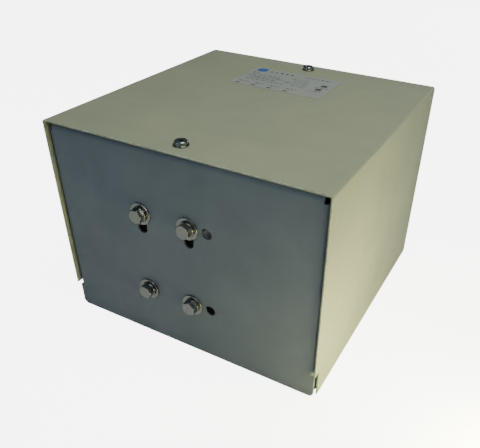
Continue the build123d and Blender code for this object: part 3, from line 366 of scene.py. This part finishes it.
# ---- Rating label ----
# Self-adhesive satin foil, printed in dark ink: a plain blue mark, a heading, rows of small print
# and two boxes. The print is rows of plain bars, with no words.
foil = finish_material("label_foil", (0.37, 0.38, 0.355), (0.33, 0.34, 0.32), (0.30, 0.30, 0.27), 0.1,
                       (2200.0, 0.000004), 0.36, 0.48, metallic=0.25, scratch=0.000002)
eased("rating_label", "label_plate", 0.0001, foil, "cover")
label_low, label_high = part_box("rating_label")
dark_ink = finish_material("dark_ink", (0.045, 0.05, 0.06), (0.06, 0.065, 0.07), (0.2, 0.2, 0.2), 0.2,
                           (2500.0, 0.000003), 0.45, 0.6)
blue_ink = finish_material("blue_ink", (0.03, 0.09, 0.30), (0.04, 0.11, 0.34), (0.2, 0.25, 0.4), 0.2,
                           (2500.0, 0.000003), 0.4, 0.55)
MM = 0.001
ink_lift = 0.00002
label_top = label_high.z + ink_lift
shortest_gap = 1.5
letter_pitch, letter_width, word_space = 0.78, 0.56, 0.7


def add_bar(shape, u, v, width, height):
    """Flat bar of ink; u and v are millimetres from the label's lower left corner to the bar's own."""
    x, y = label_low.x + u * MM, label_low.y + v * MM
    corners = [(x, y), (x + width * MM, y), (x + width * MM, y + height * MM), (x, y + height * MM)]
    shape.faces.new([shape.verts.new((cx, cy, label_top)) for cx, cy in corners])


def add_words(shape, draw, u_start, u_end, v, height):
    """A row of bars grouped as words are. Pitch, width and space are shares of the letters' height."""
    u = u_start
    while u < u_end - shortest_gap:
        width = min(draw.uniform(1.6, 5.4), u_end - u)
        letters = max(1, int(width / (height * letter_pitch)))
        for letter in range(letters):
            add_bar(shape, u + letter * height * letter_pitch, v, height * letter_width,
                    height * draw.choice((0.7, 1.0, 1.0)))
        u += letters * height * letter_pitch + height * word_space


def ink_piece(name, shape, material):
    mesh = bpy.data.meshes.new(name)
    shape.to_mesh(mesh)
    shape.free()
    mesh.materials.append(material)
    piece = bpy.data.objects.new(name, mesh)
    bpy.context.scene.collection.objects.link(piece)
    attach(piece, "cover")
    return piece


label_draw = random.Random(7)
print_shape = bmesh.new()
label_wide = (label_high.x - label_low.x) / MM
label_deep = (label_high.y - label_low.y) / MM
# Rows of print are (start, end, height of the row, height of its letters), in millimetres.
heading_rows = [(16.0, 38.0, label_deep - 8.5, 3.2), (47.0, label_wide - 6.0, label_deep - 7.0, 1.8)]
left_rows = [(start, end, label_deep - 15.0 - row * 4.4, 1.7)
             for row, (start, end) in enumerate(((3, 12), (5, 34), (3, 36), (8, 30), (6, 40)))]
right_rows = [(start, end, label_deep - 16.0 - row * 5.2, 1.6)
              for row, (start, end) in enumerate(((40, 56), (44, 58), (38, 60), (46, 60)))]
for start, end, v, height in heading_rows + left_rows + right_rows:
    add_words(print_shape, label_draw, start, end, v, height)
# Two stamped boxes near the right edge, each with a short row of print below it.
box_width, box_height, below_box = 5.0, 4.5, 3.2
for u, v in ((label_wide - 10.5, 26.0), (label_wide - 11.5, 16.5)):
    add_bar(print_shape, u, v, box_width, box_height)
    add_words(print_shape, label_draw, u - 4.0, u + 8.0, v - below_box, 1.3)
# Four small columns along the lower edge: a row of print over a short solid bar.
column_width, column_row, column_bar_row = 10.0, 8.0, 2.2
for u in (4.0, 18.0, 32.0, 46.0):
    add_words(print_shape, label_draw, u, u + column_width, column_row, 1.5)
    add_bar(print_shape, u, column_bar_row, 3.5, 1.9)
ink_piece("label_print", print_shape, dark_ink)

mark_half_width, mark_half_height = 0.0048, 0.0046
mark_from_left, mark_from_top = 8.0, 6.5
mark_shape = bmesh.new()
bmesh.ops.create_circle(mark_shape, cap_ends=True, segments=40, radius=1.0)
bmesh.ops.scale(mark_shape, vec=(mark_half_width, mark_half_height, 1), verts=mark_shape.verts[:])
bmesh.ops.translate(mark_shape, verts=mark_shape.verts[:],
                    vec=(label_low.x + mark_from_left * MM, label_high.y - mark_from_top * MM, label_top))
ink_piece("label_mark", mark_shape, blue_ink)


# ---- Dial plate ----
# Square aluminium plate in black enamel, held by four small screws. The scale is 0 to 100 in
# cream ink: a long stroke every 10, short strokes between.
dial_low, dial_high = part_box("dial_plate")
dial_enamel = finish_material(
    "dial_enamel", (0.022, 0.023, 0.026), (0.030, 0.031, 0.034), (0.09, 0.09, 0.09), 0.1,
    (1900.0, 0.000006), 0.30, 0.42,
    rub=((dial_low + dial_high) / 2, (dial_high - dial_low) / 2, 0.0007, (0.45, 0.45, 0.44)))
eased("dial_plate", "dial_face_plate", 0.00015, dial_enamel, "case")
cream_ink = finish_material("cream_ink", (0.74, 0.71, 0.60), (0.68, 0.65, 0.54), (0.5, 0.47, 0.38), 0.1,
                            (2500.0, 0.000003), 0.45, 0.6)
control_joint = [j for j in frame["joints"] if j["name"] == "voltage_control"][0]
axis_x, _, axis_z = control_joint["pos_m"]
dial_travel = math.radians(control_joint["range_deg"][1])
dial_start = math.pi / 2 - dial_travel / 2
dial_ink_y = dial_high.y + ink_lift
stroke_thickness = 0.00002
long_steps, short_steps = 10, 50


def ring_tree(name, build_shape, sizes):
    """Geometry Nodes tree that repeats a shape about the control axis.
    build_shape(tree, given) returns the shape's geometry, drawn where it lies along +X from the axis."""
    tree = bpy.data.node_groups.new(name, "GeometryNodeTree")
    kinds = {float: "NodeSocketFloat", int: "NodeSocketInt"}
    tree.interface.new_socket("Geometry", in_out="INPUT", socket_type="NodeSocketGeometry")
    for label, value in sizes.items():
        tree.interface.new_socket(label, in_out="INPUT", socket_type=kinds[type(value)])
    tree.interface.new_socket("Material", in_out="INPUT", socket_type="NodeSocketMaterial")
    tree.interface.new_socket("Geometry", in_out="OUTPUT", socket_type="NodeSocketGeometry")
    given = node(tree, "NodeGroupInput")
    result = node(tree, "NodeGroupOutput")
    points = node(tree, "GeometryNodeMeshLine", {"Count": given.outputs["Count"], "Offset": (0, 0, 0)})
    index = node(tree, "GeometryNodeInputIndex")
    angle = math_node(tree, "ADD", given.outputs["Start"],
                      math_node(tree, "MULTIPLY", index.outputs[0], given.outputs["Step"]))
    back = math_node(tree, "MULTIPLY", angle, -1.0)
    turned = node(tree, "ShaderNodeCombineXYZ", {"Y": back})
    copies = node(tree, "GeometryNodeInstanceOnPoints",
                  {"Points": points.outputs[0], "Instance": build_shape(tree, given),
                   "Rotation": turned.outputs[0]})
    real = node(tree, "GeometryNodeRealizeInstances", {"Geometry": copies.outputs[0]})
    placed = node(tree, "GeometryNodeTransform", {"Geometry": real.outputs[0],
                                                  "Translation": (axis_x, 0, axis_z)})
    finished = node(tree, "GeometryNodeSetMaterial", {"Geometry": placed.outputs[0],
                                                      "Material": given.outputs["Material"]})
    tree.links.new(finished.outputs[0], result.inputs[0])
    return tree


def ring_piece(name, build_shape, material, body, slot, smooth_angle=40.0, **sizes):
    """Runs a ring tree with its sizes and keeps the result as a plain mesh."""
    tree = ring_tree(name, build_shape, sizes)
    piece = bpy.data.objects.new(name, bpy.data.meshes.new(name))
    bpy.context.scene.collection.objects.link(piece)
    repeat = piece.modifiers.new("repeat", "NODES")
    repeat.node_group = tree
    identifiers = {item.name: item.identifier for item in tree.interface.items_tree
                   if item.in_out == "INPUT"}
    for label, value in sizes.items():
        repeat[identifiers[label]] = value
    repeat[identifiers["Material"]] = material
    settle(piece)
    piece.data.name = name
    piece.data.shade_smooth()
    piece.data.set_sharp_from_angle(angle=math.radians(smooth_angle))
    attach(piece, body)
    return piece


def build_stroke(tree, given):
    """Thin bar along +X at a radius, on the dial's face."""
    size = node(tree, "ShaderNodeCombineXYZ", {"X": given.outputs["Length"], "Y": stroke_thickness,
                                               "Z": given.outputs["Width"]})
    bar = node(tree, "GeometryNodeMeshCube", {"Size": size.outputs[0]})
    shift = node(tree, "ShaderNodeCombineXYZ", {"X": given.outputs["Radius"],
                                                "Y": given.outputs["Height"]})
    return node(tree, "GeometryNodeTransform", {"Geometry": bar.outputs[0],
                                                "Translation": shift.outputs[0]}).outputs[0]


ring_piece("dial_long_strokes", build_stroke, cream_ink, "case", "dial_enamel", Count=long_steps + 1,
           Start=dial_start, Step=dial_travel / long_steps, Radius=0.0400, Length=0.0060, Width=0.0007,
           Height=dial_ink_y)
ring_piece("dial_short_strokes", build_stroke, cream_ink, "case", "dial_enamel", Count=short_steps + 1,
           Start=dial_start, Step=dial_travel / short_steps, Radius=0.0385, Length=0.0030, Width=0.0004,
           Height=dial_ink_y)

numeral_height = 0.0052
numeral_ring = 0.0325
facing_back = Matrix(((-1, 0, 0), (0, 0, 1), (0, 1, 0))).transposed().to_4x4()
for value in range(0, 101, 10):
    angle = dial_start + dial_travel * value / 100
    text = bpy.data.curves.new(f"numeral_{value}", "FONT")
    text.body = str(value)
    text.size = numeral_height
    text.align_x = "CENTER"
    text.align_y = "CENTER"
    text.resolution_u = 4
    drawn = bpy.data.objects.new(f"numeral_{value}_text", text)
    bpy.context.scene.collection.objects.link(drawn)
    bpy.context.view_layer.update()
    graph = bpy.context.evaluated_depsgraph_get()
    mesh = bpy.data.meshes.new_from_object(drawn.evaluated_get(graph), depsgraph=graph)
    bpy.data.objects.remove(drawn)
    centre = (axis_x + numeral_ring * math.cos(angle), dial_ink_y,
              axis_z + numeral_ring * math.sin(angle))
    mesh.transform(Matrix.Translation(centre) @ facing_back)
    mesh.materials.clear()
    mesh.materials.append(cream_ink)
    numeral = bpy.data.objects.new(f"numeral_{value}", mesh)
    bpy.context.scene.collection.objects.link(numeral)
    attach(numeral, "case")

eased("dial_screws", "dial_screw_heads", 0.0001, zinc, "case")
paint_node("dial_nuts", zinc)


# ---- Knob ----
# Compression-moulded phenolic, glossy black, with a fluted grip and a flat skirt; a cream line
# is let into the skirt and the face. A set screw holds it on the shaft.
phenolic = finish_material("black_phenolic", (0.018, 0.017, 0.016), (0.026, 0.024, 0.022),
                           (0.06, 0.055, 0.05), 0.25, (700.0, 0.000008), 0.16, 0.30, coat=0.25)
eased("knob", "knob_body", 0.00035, phenolic, "control", segments=3)
cream_filler = finish_material("cream_filler", (0.80, 0.77, 0.66), (0.72, 0.69, 0.58),
                               (0.4, 0.38, 0.3), 0.2, (1500.0, 0.00001), 0.45, 0.6)
paint_node("knob_index", cream_filler)
paint_node("set_screws", spring_clip)


# ---- Cable bushings ----
# Moulded nylon bushings that line the two cable holes, each held by a plated hex nut inside. The
# control shaft's own bushing is turned brass, held by a smaller plated nut on the dial's face.
nylon = finish_material("black_nylon", (0.028, 0.028, 0.030), (0.036, 0.036, 0.038),
                        (0.07, 0.07, 0.07), 0.2, (1300.0, 0.00002), 0.42, 0.58)
eased("cable_bushings", "bushing_bodies", 0.0003, nylon, "case")
eased("cable_bushing_nuts", "bushing_nuts", 0.0002, zinc, "case")
eased("bushing_nut", "control_nut", 0.0002, zinc, "case")
brass = finish_material("turned_brass", (0.70, 0.52, 0.24), (0.62, 0.44, 0.19), (0.30, 0.20, 0.10), 0.2,
                        (2400.0, 0.000008), 0.20, 0.38, metallic=1.0, scratch=0.000004)
paint_node("panel_bushing", brass)


# ---- Core and winding ----
# A ring of wound steel strip in two moulded caps. Flat enamelled copper wire is wound through the
# ring in one layer, close in the bore and spread outside, and left open over the gap.
core_steel = finish_material("core_steel", (0.20, 0.21, 0.23), (0.26, 0.26, 0.27), (0.3, 0.18, 0.1), 0.2,
                             (1500.0, 0.00002), 0.4, 0.6, metallic=0.9)
cap_moulding = finish_material("cap_moulding", (0.70, 0.66, 0.54), (0.64, 0.60, 0.47),
                               (0.4, 0.36, 0.28), 0.25, (1200.0, 0.00002), 0.45, 0.6)
paint_node("core", core_steel)
paint_node("core_caps", cap_moulding)
winding_low, winding_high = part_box("winding")
winding_outer = (winding_high.z - winding_low.z) / 2
caps_low, caps_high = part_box("core_caps")
cap_clearance = 0.0001
wire_depth = winding_outer - (caps_high.z - caps_low.z) / 2 - cap_clearance
winding_inner = 0.0273
winding_gap = math.radians(36.0)
wire_width = 0.00098
wire_bend_radius = 0.0022
turn_count = 148
end_margin = 0.015
first_turn = winding_gap / 2 + end_margin
turn_step = (2 * math.pi - winding_gap - 2 * end_margin) / (turn_count - 1)


def build_turn(tree, given):
    """One closed turn of flat wire: a rounded rectangle round the ring's section."""
    outer, inner, depth = given.outputs["Outer"], given.outputs["Inner"], given.outputs["Depth"]
    width = math_node(tree, "SUBTRACT", math_node(tree, "SUBTRACT", outer, inner), depth)
    length = math_node(tree, "SUBTRACT", given.outputs["Length"], depth)
    loop = node(tree, "GeometryNodeCurvePrimitiveQuadrilateral", {"Width": width, "Height": length})
    bent = node(tree, "GeometryNodeFilletCurve",
                {"Curve": loop.outputs[0], "Radius": wire_bend_radius, "Count": 3}, mode="POLY")
    section = node(tree, "GeometryNodeCurvePrimitiveCircle", {"Resolution": 8, "Radius": 0.5},
                   mode="RADIUS")
    flat = node(tree, "ShaderNodeCombineXYZ", {"X": depth, "Y": given.outputs["Wire width"], "Z": 1.0})
    oval = node(tree, "GeometryNodeTransform", {"Geometry": section.outputs[0], "Scale": flat.outputs[0]})
    wire = node(tree, "GeometryNodeCurveToMesh", {"Curve": bent.outputs[0],
                                                  "Profile Curve": oval.outputs[0]})
    middle = math_node(tree, "MULTIPLY", math_node(tree, "ADD", outer, inner), 0.5)
    shift = node(tree, "ShaderNodeCombineXYZ", {"X": middle, "Y": given.outputs["Height"]})
    return node(tree, "GeometryNodeTransform", {"Geometry": wire.outputs[0],
                                                "Translation": shift.outputs[0]}).outputs[0]


enamelled_copper = finish_material(
    "enamelled_copper", (0.42, 0.14, 0.045), (0.34, 0.10, 0.030), (0.12, 0.05, 0.02), 0.2,
    (900.0, 0.000006), 0.20, 0.34, metallic=0.75, coat=0.5)
turns = ring_piece("winding_turns", build_turn, enamelled_copper, "case", "copper_wire",
                   smooth_angle=60.0, Count=turn_count, Start=first_turn, Step=turn_step,
                   Outer=winding_outer,
                   Inner=winding_inner, Depth=wire_depth, Length=winding_high.y - winding_low.y,
                   Height=(winding_high.y + winding_low.y) / 2, **{"Wire width": wire_width})
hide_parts("winding")
paint_node("winding_tap_leads", enamelled_copper)


# ---- Bared track ----
# Where the brush runs, the enamel is ground off each turn of the winding, so the copper shows as a
# ring of bright flat bars with dark gaps between them.
track_low, track_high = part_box("brush_track")
bared_copper = finish_material("bared_copper", (0.86, 0.50, 0.33), (0.74, 0.38, 0.22),
                               (0.20, 0.10, 0.06), 0.4, (2600.0, 0.00001), 0.18, 0.36,
                               metallic=1.0, scratch=0.00001)


def build_bar(tree, given):
    """Flat bar across the track."""
    size = node(tree, "ShaderNodeCombineXYZ",
                {"X": given.outputs["Length"], "Y": given.outputs["Thickness"],
                 "Z": given.outputs["Width"]})
    bar = node(tree, "GeometryNodeMeshCube", {"Size": size.outputs[0]})
    shift = node(tree, "ShaderNodeCombineXYZ", {"X": given.outputs["Radius"],
                                                "Y": given.outputs["Height"]})
    return node(tree, "GeometryNodeTransform", {"Geometry": bar.outputs[0],
                                                "Translation": shift.outputs[0]}).outputs[0]


track_outer = (track_high.z - track_low.z) / 2
track_width = 0.008
bar_width = 0.0013
track_bars = ring_piece("track_bars", build_bar, bared_copper, "case", "bare_copper", Count=turn_count,
                        Start=first_turn, Step=turn_step, Radius=track_outer - track_width / 2,
                        Length=track_width, Width=bar_width, Thickness=track_high.y - track_low.y,
                        Height=(track_high.y + track_low.y) / 2)
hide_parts("brush_track")


# ---- Castings ----
# The base, which the panel bolts hold, and the brush arm on the shaft are die-cast aluminium. Both
# are tumbled, which rounds their edges and leaves a faint cast grain.
cast = finish_material("cast_aluminium", (0.52, 0.52, 0.50), (0.44, 0.44, 0.43), (0.22, 0.22, 0.21), 0.3,
                       (900.0, 0.00006), 0.38, 0.56, metallic=0.85)
eased("transformer_base", "base_casting", 0.0004, cast, "case")
eased("brush_arm", "arm_casting", 0.0003, cast, "control")


# ---- Insulating boards ----
# Brown paper laminate with a soft sheen, sawn and drilled: the plate that clamps the winding, the
# board for its taps, and the ring between the winding and the base.
laminate = finish_material("paper_laminate", (0.24, 0.115, 0.045), (0.19, 0.085, 0.032),
                           (0.36, 0.20, 0.09), 0.3, (1100.0, 0.00001), 0.32, 0.46)
eased("clamp_plate", "clamp_board", 0.0003, laminate, "case")
eased("terminal_board", "tab_board", 0.0002, laminate, "case")
paint_node("base_insulator", laminate)


# ---- Shafts, bearings and stops ----
# Ground steel shafts run in sintered bronze bushes, and a bored steel sleeve couples the two. Two
# steel pins in the clamp plate stop the arm, one at each end of its travel.
ground_steel = finish_material("ground_steel", (0.56, 0.56, 0.57), (0.48, 0.48, 0.50),
                               (0.2, 0.18, 0.15), 0.15, (3000.0, 0.000005), 0.18, 0.32,
                               metallic=1.0, scratch=0.000006)
bronze = finish_material("sintered_bronze", (0.45, 0.28, 0.13), (0.38, 0.23, 0.11),
                         (0.15, 0.09, 0.05), 0.5, (1500.0, 0.00003), 0.4, 0.55, metallic=0.9)
for name in ("shaft", "extension_shaft", "stop_pins"):
    paint_node(name, ground_steel)
eased("shaft_coupling", "coupling_sleeve", 0.0002, ground_steel, "control")
for name in ("front_bush", "back_bush"):
    paint_node(name, bronze)
eased("clamp_screws", "clamp_screw_heads", 0.00015, zinc, "case")


# ---- Brush gear ----
# A carbon block in a brass box on the arm, pressed by a coil spring; a brass collar and a contact
# strip take the current off the shaft.
carbon = finish_material("carbon", (0.020, 0.020, 0.021), (0.032, 0.032, 0.033), (0.09, 0.09, 0.09), 0.4,
                         (1600.0, 0.00003), 0.45, 0.65)
wire_steel = finish_material("drawn_spring_wire", (0.5, 0.5, 0.52), (0.42, 0.42, 0.45),
                             (0.2, 0.2, 0.2), 0.1, (2500.0, 0.000004), 0.2, 0.35, metallic=1.0)
eased("brush_holder", "brush_box", 0.0002, brass, "control")
eased("brush_holder_cap", "brush_box_cap", 0.0001, brass, "control")
for name in ("collector_ring", "contact_spring"):
    paint_node(name, brass)
paint_node("carbon_brush", carbon)
paint_node("brush_spring", wire_steel)
paint_node("contact_screw", zinc)


# ---- Terminals ----
# Plated screws in brass plates, on the winding's board and in a moulded barrier strip that is
# screwed to the floor pan. The leads end in tinned copper lugs, and an earth stud stands by them.
for name in ("winding_terminals", "block_terminals"):
    paint_node(name, brass)
for name in ("board_screws", "winding_terminal_screws", "block_terminal_screws", "block_mounting_screws",
             "earth_stud", "earth_nuts"):
    paint_node(name, zinc)
eased("terminal_block", "barrier_strip", 0.0003, phenolic, "case")
tinned = finish_material("tinned_copper", (0.66, 0.66, 0.64), (0.58, 0.57, 0.55), (0.5, 0.3, 0.18), 0.2,
                         (1800.0, 0.00001), 0.3, 0.45, metallic=1.0)
paint_node("lead_lugs", tinned)


# ---- Leads ----
# Stranded copper in extruded vinyl with a slight drawn texture: black and white for the supply,
# red for the output and the brush, and green for earth.
def vinyl(name, colour):
    darker = tuple(c * 0.8 for c in colour)
    flecks = tuple(c * 0.5 for c in colour)
    return finish_material(name, colour, darker, flecks, 0.1, (600.0, 0.00003), 0.32, 0.45)


paint_node("line_lead", vinyl("black_vinyl", (0.025, 0.025, 0.026)))
paint_node("neutral_lead", vinyl("white_vinyl", (0.66, 0.65, 0.60)))
red_vinyl = vinyl("red_vinyl", (0.42, 0.03, 0.02))
for name in ("output_lead", "brush_lead"):
    paint_node(name, red_vinyl)
paint_node("earth_lead", vinyl("green_vinyl", (0.03, 0.22, 0.07)))


def corners(box):
    return [list(corner) for corner in box]
